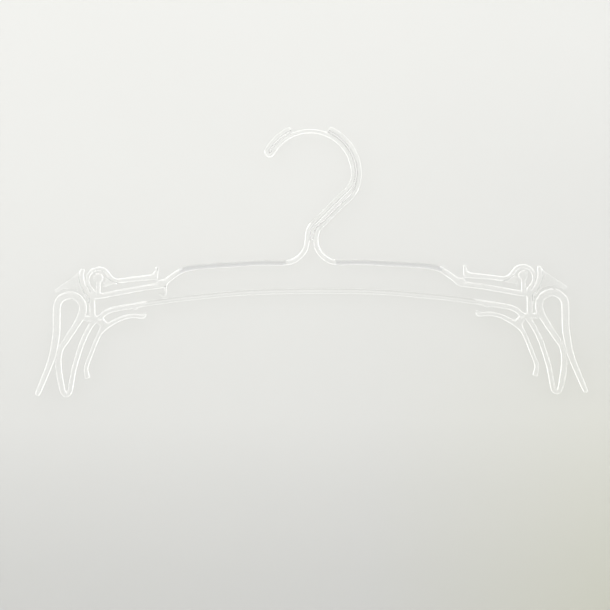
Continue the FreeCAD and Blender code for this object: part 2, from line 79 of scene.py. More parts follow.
# ------------------------------------------------------------------ outlines
def node_outline(name):
    """The front outline of a node as segments (n, 2, 2) in x, z, and its half depth."""
    mesh = frame["nodes"][name].data
    co = np.zeros(len(mesh.vertices) * 3, np.float32)
    mesh.vertices.foreach_get("co", co)
    co = co.reshape(-1, 3).astype(float) * 1000.0
    mesh.calc_loop_triangles()
    triangles = np.zeros(len(mesh.loop_triangles) * 3, np.int32)
    mesh.loop_triangles.foreach_get("vertices", triangles)
    triangles = triangles.reshape(-1, 3)
    front_y = co[:, 1].min()
    front = triangles[(co[triangles][:, :, 1] < front_y + 1e-3).all(1)]
    # weld to half a micrometre, then keep the edges that only one front triangle uses
    per_mm = 2000.0
    welded, index = np.unique(np.round(co[:, (0, 2)] * per_mm).astype(np.int64), axis=0,
                              return_inverse=True)
    index = index.reshape(-1)
    edges = np.concatenate([index[front[:, pair]] for pair in ((0, 1), (1, 2), (2, 0))])
    edges = edges[edges[:, 0] != edges[:, 1]]
    edges.sort(axis=1)
    pairs, count = np.unique(edges, axis=0, return_counts=True)
    return (welded / per_mm)[pairs[count == 1]], abs(front_y)


def closed(points):
    """A ring of points as closed segments."""
    return np.stack([points, np.roll(points, -1, 0)], 1)


def arc_strip(centre, inner_radius, outer_radius, start, end, count=10):
    """Part of a flat ring between two angles in degrees."""
    t = np.radians(np.linspace(start, end, count))

    def arc(radius, angles):
        return np.stack([centre[0] + radius * np.cos(angles),
                         centre[1] + radius * np.sin(angles)], 1)
    return closed(np.concatenate([arc(outer_radius, t), arc(inner_radius, t[::-1])]))


def strip(points, width):
    """A ribbon of constant width along a few points."""
    points = np.array(points, float)
    along = np.gradient(points, axis=0)
    along /= np.linalg.norm(along, axis=1)[:, None]
    offset = np.stack([-along[:, 1], along[:, 0]], 1) * width / 2.0
    return closed(np.concatenate([points + offset, (points - offset)[::-1]]))


def in_box(points, box):
    return ((points > box[0]) & (points < box[1])).all(-1)


def inside(points, segments):
    """Even-odd test of points (..., 2) against closed outlines."""
    x, z = points[..., 0], points[..., 1]
    odd = np.zeros(x.shape, bool)
    for a, b in segments:
        if a[1] == b[1]:
            continue
        level = (z > min(a[1], b[1])) & (z <= max(a[1], b[1]))
        crossing = a[0] + (z - a[1]) * (b[0] - a[0]) / (b[1] - a[1])
        odd ^= level & (x < crossing)
    return odd


def chop(segments, step=0.22):
    """The segments divided into pieces no longer than a step."""
    out = []
    for a, b in segments:
        count = max(1, int(math.ceil(np.linalg.norm(b - a) / step)))
        points = a + (b - a) * np.linspace(0, 1, count + 1)[:, None]
        out.append(np.stack([points[:-1], points[1:]], 1))
    return np.concatenate(out)


def nearest(points, segments):
    """Distance from each of the points (..., 2) to the nearest segment."""
    start, run = segments[:, 0], segments[:, 1] - segments[:, 0]
    run_squared = np.maximum((run * run).sum(1), 1e-12)
    points = points[..., None, :]
    t = np.clip(((points - start) * run).sum(-1) / run_squared, 0, 1)
    foot = start + t[..., None] * run
    return np.sqrt(((points - foot) ** 2).sum(-1).min(-1))


# ------------------------------------------------------------------ lattice and distances
class Lattice:
    """Points at whole multiples of the pitch over a box in x, z."""

    def __init__(self, low, high):
        self.i0, self.k0 = math.floor(low[0] / PITCH), math.floor(low[1] / PITCH)
        self.x = np.arange(self.i0, math.ceil(high[0] / PITCH) + 1) * PITCH
        self.z = np.arange(self.k0, math.ceil(high[1] / PITCH) + 1) * PITCH

    def span(self, low, high):
        """The index slices that cover a box."""
        return tuple(slice(max(0, math.floor(a / PITCH) - first),
                           min(count, math.ceil(b / PITCH) - first + 1))
                     for a, b, first, count in zip(low, high, (self.i0, self.k0),
                                                   (len(self.x), len(self.z))))

    def within(self, whole):
        """The index slices that this lattice takes up in a larger one."""
        i, k = self.i0 - whole.i0, self.k0 - whole.k0
        return slice(i, i + len(self.x)), slice(k, k + len(self.z))

    def points(self, span=(slice(None), slice(None))):
        """The points of a span, (nx, nz, 2)."""
        return np.stack(np.meshgrid(self.x[span[0]], self.z[span[1]], indexing="ij"), -1)

    def sample(self, values, points):
        """The values at the lattice points nearest to some points."""
        i = np.clip(np.round(points[:, 0] / PITCH).astype(int) - self.i0, 0, len(self.x) - 1)
        k = np.clip(np.round(points[:, 1] / PITCH).astype(int) - self.k0, 0, len(self.z) - 1)
        return values[i, k]


def smooth(field, sigma, steps):
    """Gaussian blur along every axis, cut off after some lattice steps."""
    weights = np.exp(-0.5 * (np.arange(-steps, steps + 1) * PITCH / sigma) ** 2)
    weights = (weights / weights.sum()).astype(field.dtype)
    for axis in range(field.ndim):
        pad = [(steps, steps) if a == axis else (0, 0) for a in range(field.ndim)]
        padded = np.moveaxis(np.pad(field, pad, mode="edge"), axis, 0)
        count = field.shape[axis]
        field = np.moveaxis(sum(w * padded[j:j + count] for j, w in enumerate(weights)), 0, axis)
    return field


def edges_and_seams(shapes, bounds, chopped):
    """Parts chopped outlines into edges and seams. A seam has solid on both sides."""
    edges, seams = [], []
    for pieces in chopped:
        middle = pieces.mean(1)
        along = pieces[:, 1] - pieces[:, 0]
        length = np.maximum(np.linalg.norm(along, axis=1), 1e-9)
        normal = np.stack([-along[:, 1], along[:, 0]], 1) / length[:, None]
        is_seam = np.ones(len(pieces), bool)
        for offset in (SEAM_PROBE, -SEAM_PROBE):
            probes = middle + normal * offset
            covered = np.zeros(len(pieces), bool)
            for (segments, box), bound in zip(shapes, bounds):
                near = np.flatnonzero(in_box(probes, bound) & in_box(probes, box))
                if len(near):
                    covered[near] |= inside(probes[near], segments)
            is_seam &= covered
        edges.append(pieces[~is_seam])
        seams.append(pieces[is_seam])
    return np.concatenate(edges), np.concatenate(seams)


def distance(lattice, shapes, blur=BLUR):
    """Signed distance on the lattice to the union of shapes. A shape is (segments, box), and only
    what lies in its box counts. Outlines that meet face to face join with no seam."""
    solid = np.zeros((len(lattice.x), len(lattice.z)), bool)
    bounds, chopped = [], []
    for segments, box in shapes:
        low, high = segments.reshape(-1, 2).min(0), segments.reshape(-1, 2).max(0)
        bounds.append((low, high))
        span = lattice.span(np.maximum(low, box[0]), np.minimum(high, box[1]))
        points = lattice.points(span)
        solid[span] |= inside(points, segments) & in_box(points, box)
        pieces = chop(segments)
        chopped.append(pieces[in_box(pieces.mean(1), box)])
    edges, seams = edges_and_seams(shapes, bounds, chopped)
    edge_middles, seam_middles = edges.mean(1), seams.mean(1)

    search = 0.3            # looked at beyond the margin, since pieces are found by their middles
    seam_width = 0.05       # a lattice point this near a seam counts as solid,
    seam_lead = 0.01        # if it is nearer the seam than an edge by this much
    out = np.full(solid.shape, MARGIN)
    for i in range(0, len(lattice.x), TILE):
        for k in range(0, len(lattice.z), TILE):
            tile = (slice(i, i + TILE), slice(k, k + TILE))
            points = lattice.points(tile)
            area = (points[0, 0] - MARGIN - search, points[-1, -1] + MARGIN + search)
            block = solid[tile]
            near_edges = edges[in_box(edge_middles, area)]
            if not len(near_edges):
                out[tile] = np.where(block, -MARGIN, MARGIN)
                continue
            to_edge = nearest(points, near_edges)
            near_seams = seams[in_box(seam_middles, area)]
            if len(near_seams):
                to_seam = nearest(points, near_seams)
                block = block | ((to_seam < seam_width) & (to_edge > to_seam + seam_lead))
            out[tile] = np.where(block, -1, 1) * np.minimum(to_edge, MARGIN)
    return smooth(out, blur, math.ceil(3 * blur / PITCH)) if blur else out


def slab(flat, half_depth, edge):
    """Distance to a flat member with rounded long edges, from the distance to its outline."""
    side = (flat + edge)[:, :, None]
    face = (np.abs(LAYERS) - half_depth + edge)[None, None, :]
    outside = np.sqrt(np.maximum(side, 0) ** 2 + np.maximum(face, 0) ** 2)
    return (np.minimum(np.maximum(side, face), 0) + outside - edge).astype(np.float32)


def join(a, b, fillet):
    """Union of two solids with a fillet."""
    h = np.maximum(fillet - np.abs(a - b), 0) / fillet
    return np.minimum(a, b) - h * h * fillet * 0.25


def carried_in(web, rim, grow=0.5, bite=0.3):
    """A web's outline, carried into the member it grows out of."""
    return np.minimum(web, np.maximum(web - grow, rim - bite))


def drawn_back(own, rest, gap):
    """Draws a member back where it would come within a gap of what it must stay clear of."""
    return own + np.maximum(0, gap - (own + rest)) if gap else own


def ramp(x):
    x = np.clip(x, 0, 1)
    return x * x * (3 - 2 * x)


# ------------------------------------------------------------------ surface net
CORNERS = np.array([(a, b, c) for a in (0, 1) for b in (0, 1) for c in (0, 1)])
CUBE_EDGES = [(p, q) for p in range(8) for q in range(p + 1, 8)
              if abs(CORNERS[p] - CORNERS[q]).sum() == 1]


def cell_points(field, cells):
    """For each cell the mean of the places where its edges cross the surface."""
    corner = np.stack([field[tuple((cells + c).T)] for c in CORNERS], 1).astype(float)
    total, count = np.zeros((len(cells), 3)), np.zeros(len(cells))
    for p, q in CUBE_EDGES:
        f0, f1 = corner[:, p], corner[:, q]
        cross = (f0 < 0) != (f1 < 0)
        t = np.where(cross, f0 / np.where(cross, f0 - f1, 1), 0)
        total += (CORNERS[p] + t[:, None] * (CORNERS[q] - CORNERS[p])) * cross[:, None]
        count += cross
    return cells + total / count[:, None]


def crossing_quads(negative, index):
    """A quad round each lattice edge that crosses the surface, and the middle of that edge."""
    quads, middles = [], []
    unit = np.eye(3, dtype=int)
    for axis in range(3):
        step, u, v = (unit[(axis + turn) % 3] for turn in range(3))
        first = negative[tuple(slice(0, -1) if a == axis else slice(1, -1) for a in range(3))]
        second = negative[tuple(slice(1, None) if a == axis else slice(1, -1) for a in range(3))]
        found = np.argwhere(first != second)
        outward = first[tuple(found.T)]
        base = found + (1 - step)
        ring = np.stack([index[tuple(c.T)] for c in (base - u - v, base - v, base, base - u)], 1)
        ring[~outward] = ring[~outward][:, ::-1]
        quads.append(ring)
        middles.append(base + step * 0.5)
    quads, middles = np.concatenate(quads), np.concatenate(middles)
    whole = (quads >= 0).all(1)
    return quads[whole], middles[whole]


def settle(points, field, rounds=3, longest=0.4):
    """Moves the points onto the true surface, by at most part of a cell in each round."""
    for _ in range(rounds):
        cell = np.clip(np.floor(points).astype(int), 0, np.array(field.shape) - 2)
        f = points - cell
        value, slope = np.zeros(len(points)), np.zeros((len(points), 3))
        for c in CORNERS:
            w = np.where(c, f, 1 - f)
            s = field[tuple((cell + c).T)]
            value += w.prod(1) * s
            for axis in range(3):
                a, b = [k for k in range(3) if k != axis]
                slope[:, axis] += (1 if c[axis] else -1) * w[:, a] * w[:, b] * s
        move = -(value / np.maximum((slope * slope).sum(1), 1e-9))[:, None] * slope
        length = np.linalg.norm(move, axis=1)
        move *= np.minimum(1, longest / np.maximum(length, 1e-9))[:, None]
        points = points + move
    return points


def net(field, lattice):
    """Surface net of field < 0: points in mm as x, z, y, quads, and for each quad the middle of the
    lattice edge it crosses."""
    negative = field < 0
    size = tuple(n - 1 for n in field.shape)
    total = np.zeros(size, np.int8)
    for c in CORNERS:
        total += negative[tuple(slice(o, o + n) for o, n in zip(c, size))]
    cells = np.argwhere((total > 0) & (total < len(CORNERS)))
    index = np.full(size, -1, np.int32)
    index[tuple(cells.T)] = np.arange(len(cells))
    quads, middles = crossing_quads(negative, index)
    points = settle(cell_points(field, cells), field)
    origin = np.array([lattice.x[0], lattice.z[0], LAYERS[0]])
    return points * PITCH + origin, quads, middles * PITCH + origin


def compact(points, quads):
    """Drops the points that no quad uses."""
    used = np.unique(quads)
    new = np.full(len(points), -1)
    new[used] = np.arange(len(used))
    return points[used], new[quads]


def largest_parts(points, quads, smallest=60):
    """Drops unused points, and loose scraps with fewer faces than the smallest part."""
    points, quads = compact(points, quads)
    parent = np.arange(len(points))
    for _ in range(200):
        low = parent[quads].min(1)
        new = parent.copy()
        for c in range(4):
            np.minimum.at(new, quads[:, c], low)
        new = new[new]
        if (new == parent).all():
            break
        parent = new
    root = parent[quads[:, 0]]
    ids, count = np.unique(root, return_counts=True)
    return compact(points, quads[np.isin(root, ids[count >= smallest])])


def rim_points(quads):
    """The points on open edges."""
    edges = np.concatenate([quads[:, pair] for pair in ((0, 1), (1, 2), (2, 3), (3, 0))])
    pairs, count = np.unique(np.sort(edges, axis=1), axis=0, return_counts=True)
    return np.unique(pairs[count == 1])


# ------------------------------------------------------------------ nodes and sprung members
outline, half = {}, {}
for name in frame["nodes"]:
    if not name.startswith("right_"):
        outline[name], half[name] = node_outline(name)
for name in frame["nodes"]:
    if name.startswith("right_"):
        outline[name] = outline["left_" + name[6:]] * (-1.0, 1.0)


def whole_shapes(names):
    return [(outline[n], EVERYWHERE) for n in names]


# nodes of the same depth, long edge radius, fillet where they meet the rims
WEB_GROUPS = (
    (("hook_web", "hook_tip_web"), 0.3, 0.9),
    (("left_gusset_web", "right_gusset_web"), 0.18, 0.4),
    (("left_size_tab",), 0.8, 0.5),
)
WEBS = [n for names, _, _ in WEB_GROUPS for n in names]
FRAME_NODES = list(frame["record"]["behaviour"]["bodies"]["frame"])
RIMS = [n for n in FRAME_NODES if n not in WEBS]

# The four sprung members of the left end; the right end mirrors them. All places are x, z.
#   nodes, thin      the member's nodes, and a thin web that grows out of them
#   bridge           the outline that fills the gap the CAD leaves at the root
#   window           the box in which frame and member are drawn together
#   root, joined     the middle of the root, and how far round it the two share one outline
#   gap              the clearance kept from the frame elsewhere, or 0 for none
#   axis, at, beyond the plane they part on (0 for x, 1 for z), and the member's side of it
#   start, end       the line the member bends over
SPRUNG = {
    "strap_clip_lever": SimpleNamespace(
        nodes=("strap_spring_loop", "strap_lever"), thin=("lever_heel",),
        bridge=strip([(-122.45, -62.50), (-121.77, -63.38), (-120.95, -64.42),
                      (-119.60, -66.00)], width=1.89),
        window=((-129.6, -68.0), (-117.0, -58.5)), root=(-121.3, -65.0), joined=1.5, gap=0.55,
        axis=1, at=-63.27, beyond=1, start=(-120.20, -63.0), end=(-119.00, -60.91)),
    "pinch_clip_finger": SimpleNamespace(
        nodes=("finger_spring_ring", "pinch_finger"), thin=(),
        bridge=arc_strip(centre=(-133.87, -73.82), inner_radius=5.33, outer_radius=9.32,
                         start=-14.0, end=-36.0),
        window=((-131.5, -82.5), (-121.0, -71.2)), root=(-127.4, -76.8), joined=3.2, gap=0,
        axis=1, at=-76.04, beyond=1, start=(-129.10, -76.0), end=(-138.80, -76.0)),
    "lower_strap_hook": SimpleNamespace(
        nodes=("strap_hook",), thin=(),
        bridge=strip([(-113.30, -83.66), (-112.39, -83.15), (-111.20, -82.42)], width=2.44),
        window=((-117.0, -87.9), (-106.5, -77.5)), root=(-112.4, -83.1), joined=3.0, gap=0,
        axis=0, at=-111.35, beyond=1, start=(-111.05, -83.0), end=(-106.4, -83.0)),
    "hanging_finger": SimpleNamespace(
        nodes=("inner_finger",), thin=(),
        bridge=strip([(-117.15, -87.20), (-117.42, -87.90), (-117.85, -88.75)], width=2.0),
        window=((-122.0, -93.5), (-113.0, -84.0)), root=(-117.4, -87.9), joined=2.0, gap=0,
        axis=1, at=-88.95, beyond=-1, start=(-117.5, -89.25), end=(-117.5, -94.0)),
}

# One lattice over the whole hanger, the same to the left as to the right
all_points = np.concatenate([outline[n].reshape(-1, 2) for n in FRAME_NODES])
low, high = all_points.min(0) - 1.3, all_points.max(0) + 1.3
half_width = max(-low[0], high[0])
big = Lattice((-half_width, low[1]), (half_width, high[1]))
frame_distance = distance(big, whole_shapes(RIMS))
sharp_frame_distance = distance(big, whole_shapes(RIMS), blur=0)


def draw_root(member):
    """Draws frame and member together round the member's root. Near the root they are one outline,
    so that the fillets flow on; away from it each keeps its own, so that narrow gaps stay open."""
    low, high = np.array(member.window)
    member.lattice = Lattice(low, high)
    wide = Lattice(low - 2, high + 2)
    box = (low - 5, high + 5)
    member.shapes = whole_shapes("left_" + n for n in member.nodes) + [(member.bridge, EVERYWHERE)]
    near = []
    for n in RIMS:
        points = outline[n].reshape(-1, 2)
        overlaps = (points.min(0) < box[1]).all() and (points.max(0) > box[0]).all()
        if overlaps and not n.startswith("right_"):
            near.append((outline[n], box))
    fade = 1.0  # width of the band in which the shared outline gives way
    from_root = np.sqrt(((wide.points() - member.root) ** 2).sum(-1))
    share = ramp((member.joined + fade - from_root) / fade)
    own, rest = distance(wide, member.shapes), distance(wide, near)
    own = share * own + (1 - share) * drawn_back(own, rest, member.gap)
    member.half_depth = half["left_" + member.nodes[0]]
    if member.half_depth > FULL_DEPTH_FROM:
        member.edge = EDGE
        both = distance(wide, member.shapes + near)
        flat = share * both + (1 - share) * np.minimum(own, rest)
        block = slab(flat, HALF_DEPTH, EDGE)
    else:
        # a shallower member: the frame keeps its depth round the root
        member.edge = SHALLOW_EDGE
        both = distance(wide, near + [(member.bridge, EVERYWHERE)])
        block = join(slab(own, member.half_depth, SHALLOW_EDGE),
                     slab(share * both + (1 - share) * rest, HALF_DEPTH, EDGE), fillet=0.4)
    member.block = block[member.lattice.within(wide)]
    member.sharp_distance = distance(big, member.shapes, blur=0)


def window_and_side(member, points, thin=None):
    """For points on the left side: which lie in the root window, and which lie past the parting
    plane and nearer the member than the frame. The distance to a thin web may be given too."""
    grow = 0.7
    low, high = np.array(member.window)
    windowed = in_box(points, (low - grow, high + grow))
    past = (points[:, member.axis] - member.at) * member.beyond > 0
    own = big.sample(member.sharp_distance, points)
    if thin is not None:
        own = np.minimum(own, thin)
    return windowed, past & (own < big.sample(sharp_frame_distance, points))


# ------------------------------------------------------------------ the frame's solid
def add_roots(solid):
    for member in SPRUNG.values():
        columns, rows = member.lattice.within(big)
        mirror = slice(len(big.x) - columns.stop, len(big.x) - columns.start)
        solid[columns, rows] = np.minimum(solid[columns, rows], member.block)
        solid[mirror, rows] = np.minimum(solid[mirror, rows], member.block[::-1])


def add_webs(solid):
    for names, edge, fillet in WEB_GROUPS:
        flat = carried_in(distance(big, whole_shapes(names), blur=WEB_BLUR), frame_distance)
        solid = join(solid, slab(flat, half[names[0]], edge), fillet)
    return solid


def soften_hook(solid):
    """The hook's skin is a little softer than the rest: its channels are polished into the rims."""
    first = int(np.searchsorted(big.z, -52.0))
    start_z, fade = -50.0, 5.0
    softer = smooth(solid[:, first:], sigma=0.36, steps=2)
    share = ramp((big.z[first:] - start_z) / fade)[None, :, None].astype(np.float32)
    solid[:, first:] = solid[:, first:] * (1 - share) + softer * share


def add_bumps(solid):
    """The retaining bumps keep crisp edges."""
    flat = distance(big, whole_shapes(["left_bar_bump", "right_bar_bump"]), blur=0.12)
    grow = 0.15
    return join(solid, slab(flat - grow, HALF_DEPTH, edge=0.55), fillet=0.2)


def carve(solid, span, off_squared, ahead, radius, fillet):
    """Sinks a round tool into the front face; its middle lies some way ahead of that face."""
    from_middle = (LAYERS + HALF_DEPTH + ahead)[None, None, :]
    tool = np.sqrt(off_squared[:, :, None] + from_middle ** 2) - radius
    solid[span] = -join(-solid[span], tool.astype(np.float32), fillet)


def carve_marks(solid):
    """A shallow dimple in front of each end junction, and a shallow groove along the foot of each
    jaw strut, where the strut meets the V-shaped jaw."""
    dimple = (117.11, -79.37)
    for side in (-1, 1):
        x = side * dimple[0]
        span = big.span((x - 3, -83), (x + 3, -76))
        off_squared = ((big.points(span) - (x, dimple[1])) ** 2).sum(-1)
        carve(solid, span, off_squared, ahead=0.85, radius=1.55, fillet=0.35)
    for side in (-1, 1):
        a, b = np.array([side * 135.4, -90.3]), np.array([side * 138.0, -94.1])
        span = big.span(np.minimum(a, b) - 3, np.maximum(a, b) + 3)
        run = b - a
        offset = big.points(span) - a
        t = np.clip((offset * run).sum(-1) / (run ** 2).sum(), 0, 1)
        off_squared = ((offset - t[..., None] * run) ** 2).sum(-1)
        carve(solid, span, off_squared, ahead=0.75, radius=1.2, fillet=0.3)


for member in SPRUNG.values():
    draw_root(member)
solid = slab(frame_distance, HALF_DEPTH, EDGE)
add_roots(solid)
solid = add_webs(solid)
soften_hook(solid)
solid = add_bumps(solid)
carve_marks(solid)
points, quads, middles = net(solid, big)

# the faces that belong to the sprung members leave the frame's skin
kept = np.ones(len(quads), bool)
for member in SPRUNG.values():
    for side in (1, -1):
        windowed, mine = window_and_side(member, middles[:, :2] * (side, 1))
        kept &= ~(windowed & mine)


# ------------------------------------------------------------------ shader trees
class Tree:
    """The emptied node tree of a material or world, with short ways to add nodes."""

    def __init__(self, owner):
        owner.use_nodes = True
        self.nodes, self.links = owner.node_tree.nodes, owner.node_tree.links
        self.nodes.clear()

    def add(self, kind, inputs=None, **settings):
        """A node whose inputs are sockets to link or values to set."""
        node = self.nodes.new("ShaderNode" + kind)
        for key, value in settings.items():
            setattr(node, key, value)
        for key, value in (inputs or {}).items():
            if isinstance(value, bpy.types.NodeSocket):
                self.links.new(value, node.inputs[key])
            else:
                node.inputs[key].default_value = value
        return node

    def math(self, operation, a, b, clamp=False):
        return self.add("Math", {0: a, 1: b}, operation=operation, use_clamp=clamp).outputs[0]

    def mix(self, factor, a, b):
        return self.add("Mix", {0: factor, 2: a, 3: b}).outputs[0]

    def map(self, value, start=0.0, end=1.0, low=0.0, high=1.0, kind="LINEAR"):
        """Maps start..end to low..high."""
        inputs = {"Value": value, "From Min": start, "From Max": end, "To Min": low, "To Max": high}
        return self.add("MapRange", inputs, interpolation_type=kind).outputs["Result"]

    def surface(self, shader, clearness, tint=(1, 1, 1)):
        """Ends a material in a mix of a shader and, by the clearness, plain transparency."""
        clear = self.add("BsdfTransparent", {"Color": (*tint, 1)})
        mix = self.add("MixShader", {"Fac": clearness, 1: shader, 2: clear.outputs["BSDF"]})
        self.add("OutputMaterial", {"Surface": mix.outputs["Shader"]})


def new_material(name):
    material = bpy.data.materials.new(name)
    return material, Tree(material)


# ------------------------------------------------------------------ the hanger's materials
def clear_plastic(name, tint, shade):
    """Clear gloss polystyrene: faint flow lines, a slightly uneven skin and fine handling marks."""
    material, tree = new_material(name)
    place = tree.add("TexCoord").outputs["Object"]
    flow_map = tree.add("Mapping", {"Vector": place, "Scale": (0.5, 1.0, 1.3)})
    flow = tree.add("TexNoise", {"Vector": flow_map.outputs["Vector"], "Scale": 190.0,
                                 "Detail": 3.0, "Roughness": 0.45, "Distortion": 0.6})
    fine = tree.add("TexNoise", {"Vector": place, "Scale": 2600.0, "Detail": 4.0})
    # noise squeezed hard along one tilted direction, cut off to leave thin marks
    scratch_map = tree.add("Mapping", {"Vector": place, "Scale": (260.0, 260.0, 9000.0),
                                       "Rotation": (0.3, 0.5, 0.2)})
    scratch = tree.add("TexNoise", {"Vector": scratch_map.outputs["Vector"], "Scale": 1.0,
                                    "Detail": 2.0})
    marks = tree.map(scratch.outputs["Fac"], start=0.62, end=0.80)
    uneven = tree.map(fine.outputs["Fac"], start=0.3, end=0.75, low=0.03, high=0.08)
    mark_roughness = 0.10
    roughness = tree.add("Math", {0: marks, 1: mark_roughness, 2: uneven},
                         operation="MULTIPLY_ADD")
    flow_bump = tree.add("Bump", {"Strength": 0.35, "Distance": 0.00010,
                                  "Height": flow.outputs["Fac"]})
    mark_bump = tree.add("Bump", {"Strength": 0.12, "Distance": 0.00002, "Height": marks,
                                  "Normal": flow_bump.outputs["Normal"]})
    plastic = tree.add("BsdfPrincipled", {
        "Base Color": (*tint, 1), "Transmission Weight": 1.0, "IOR": 1.57,
        "Roughness": roughness.outputs[0], "Normal": mark_bump.outputs["Normal"]})
    # lamp light passes through clear plastic almost unchanged, so its shadow is faint
    ray = tree.add("LightPath").outputs
    through = tree.math("MAXIMUM", ray["Is Shadow Ray"], ray["Is Diffuse Ray"])
    tree.surface(plastic.outputs["BSDF"], through, shade)
    return material


def cap_material():
    """The faces a member and the frame share inside the plastic: nothing is seen there."""
    material, tree = new_material("inside_joint")
    clear = tree.add("BsdfTransparent")
    tree.add("OutputMaterial", {"Surface": clear.outputs["BSDF"]})
    return material


PLASTIC = clear_plastic("clear_polystyrene", tint=(0.992, 0.994, 0.990),
                        shade=(0.968, 0.968, 0.966))
INSIDE = cap_material()


# ------------------------------------------------------------------ the hanger's objects
def link_object(name, data):
    obj = bpy.data.objects.new(name, data)
    bpy.context.scene.collection.objects.link(obj)
    return obj


def make_object(name, points, quads):
    """A mesh object in metres, with any open root closed by a cap in its own material."""
    mesh = bpy.data.meshes.new(name)
    # from x, z, y to x, y, z, which turns the faces over
    mesh.from_pydata((points[:, (0, 2, 1)] / 1000.0).tolist(), [], quads[:, ::-1].tolist())
    mesh.materials.append(PLASTIC)
    mesh.materials.append(INSIDE)
    bm = bmesh.new()
    bm.from_mesh(mesh)
    rim = [e for e in bm.edges if e.is_boundary]
    if rim:
        caps = bmesh.ops.holes_fill(bm, edges=rim, sides=0)["faces"]
        for f in caps:
            f.material_index = 1
        bmesh.ops.triangulate(bm, faces=caps)
    for f in bm.faces:
        f.smooth = f.material_index == 0
    bmesh.ops.recalc_face_normals(bm, faces=bm.faces)
    if bm.calc_volume(signed=True) < 0:
        bmesh.ops.reverse_faces(bm, faces=bm.faces)
    for e in bm.edges:
        if len({f.material_index for f in e.link_faces}) == 2 and len(e.link_faces) == 2:
            e.smooth = False
    bm.to_mesh(mesh)
    bm.free()
    mesh.update()
    return link_object(name, mesh)


# The frame's skin, divided at plain cross-sections
END = ("shoulder_block", "strap_arm", "loop_post", "spine_guard", "gusset_web", "vertical_strut",
       "end_junction", "flexure_root", "jaw_strut", "fixed_jaw_loop")
PIECES = {
    "hook": ["hook_inner_rim", "hook_outer_rim", "hook_tip_rim", "hook_tip_web", "hook_web"],
    "neck": ["neck_left_rail", "neck_right_rail"],
    "left_top_bar": ["top_bar_left"],
    "right_top_bar": ["top_bar_right"],
    "arched_lower_bar": ["lower_bar", "left_bar_bump", "right_bar_bump"],
    "left_end": ["left_" + n for n in END] + ["left_size_tab"],
    "right_end": ["right_" + n for n in END],
}
HOOK_FOOT = -24.5           # z where the hook ends and the neck begins
NECK_SIDE = 13.5            # x where the neck ends and a top bar begins
TOP_BAR_END = 74.5          # x where a top bar ends
BARS_PART = -62.0           # z between the top bars and the lower bar
LOWER_BAR_END = 108.0       # x where the lower bar ends
LOWER_BAR_STEP = (79, -68.0)  # x from which the lower bar's upper limit drops, and that limit


def piece_numbers(x, z):
    """The place in PIECES of each point; the first rule that holds decides."""
    out, upper = np.abs(x), z > BARS_PART
    lower_limit = np.where(out < LOWER_BAR_STEP[0], BARS_PART, LOWER_BAR_STEP[1])
    rules = [z > HOOK_FOOT,
             upper & (out < NECK_SIDE),
             upper & (out < TOP_BAR_END) & (x < 0),
             upper & (out < TOP_BAR_END),
             (out < LOWER_BAR_END) & (z < lower_limit),
             x < 0]
    return np.select(rules, list(range(len(rules))), len(rules))


frame_points, frame_quads = compact(points, quads[kept])
frame_rim = frame_points[rim_points(frame_quads)]
piece = piece_numbers(middles[:, 0], middles[:, 1])
for number, (name, nodes) in enumerate(PIECES.items()):
    obj = make_object(name, *largest_parts(points, quads[kept & (piece == number)]))
    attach(obj, "frame")
    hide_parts(*nodes)


def member_skin(member):
    """The points and quads of a left member, open at its root."""
    thin = whole_shapes("left_" + n for n in member.thin)
    extent = np.concatenate([segments.reshape(-1, 2) for segments, _ in member.shapes + thin]
                            + [np.array(member.window)])
    lattice = Lattice(extent.min(0) - 1.6, extent.max(0) + 1.6)
    flat = drawn_back(distance(lattice, member.shapes), frame_distance[lattice.within(big)],
                      member.gap)
    solid = slab(flat, member.half_depth, member.edge)
    solid[member.lattice.within(lattice)] = member.block
    if thin:
        web = carried_in(distance(lattice, thin, blur=WEB_BLUR),
                         distance(lattice, member.shapes, blur=0))
        solid = join(solid, slab(web, half["left_" + member.thin[0]], edge=0.2), fillet=0.4)
    points, quads, middles = net(solid, lattice)
    middles = middles[:, :2]
    to_thin = lattice.sample(distance(lattice, thin, blur=0), middles) if thin else None
    windowed, mine = window_and_side(member, middles, to_thin)
    return largest_parts(points, quads[~windowed | mine])


def snap_to_frame(points, quads, reach=0.2):
    """Puts the points of an open root on the frame's own."""
    for v in rim_points(quads):
        gap = np.linalg.norm(frame_rim - points[v], axis=1)
        j = gap.argmin()
        if gap[j] < reach:
            points[v] = frame_rim[j]


for name, member in SPRUNG.items():
    left_points, left_quads = member_skin(member)
    for side, prefix in ((1, "left_"), (-1, "right_")):
        points = left_points * (side, 1, 1)
        quads = left_quads if side == 1 else left_quads[:, ::-1]
        snap_to_frame(points, quads)
        obj = make_object(prefix + name, points, quads)
        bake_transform(obj)
        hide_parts(*[prefix + n for n in member.nodes + member.thin])


# ------------------------------------------------------------------ stage materials, in metres
def stage_tone(tree, place, axes, colour, warmth):
    """The base tone of wall and floor: faint clouds, a painted shade that falls off to the right and
    fades out higher up, and by the warmth a warmer cast."""
    noise = tree.add("TexNoise", {"Vector": place, "Scale": 5.0, "Detail": 2.0})
    cloud = tree.map(noise.outputs["Fac"], low=0.985, high=1.015)
    # painted shade: up to 3% darker towards the right
    painted_shade_right = tree.map(axes["X"], start=0.0, end=0.17, low=1.0, high=0.968)
    higher = tree.map(axes["Z"], start=0.0, end=0.07)
    level = tree.math("MULTIPLY", cloud, tree.mix(higher, painted_shade_right, 1.0))
    warm_colour = (colour[0], colour[1] * 1.004, colour[2] * 0.905)
    cast = tree.add("Mix", {0: warmth, 4: colour, 5: warm_colour}, data_type="VECTOR")
    tone = tree.add("VectorMath", {0: cast.outputs[1], "Scale": level}, operation="SCALE")
    return tone.outputs[0]


def matt(tree, colour):
    return tree.add("BsdfPrincipled", {"Base Color": colour, "Roughness": 0.85,
                                       "Specular IOR Level": 0.2}).outputs["BSDF"]


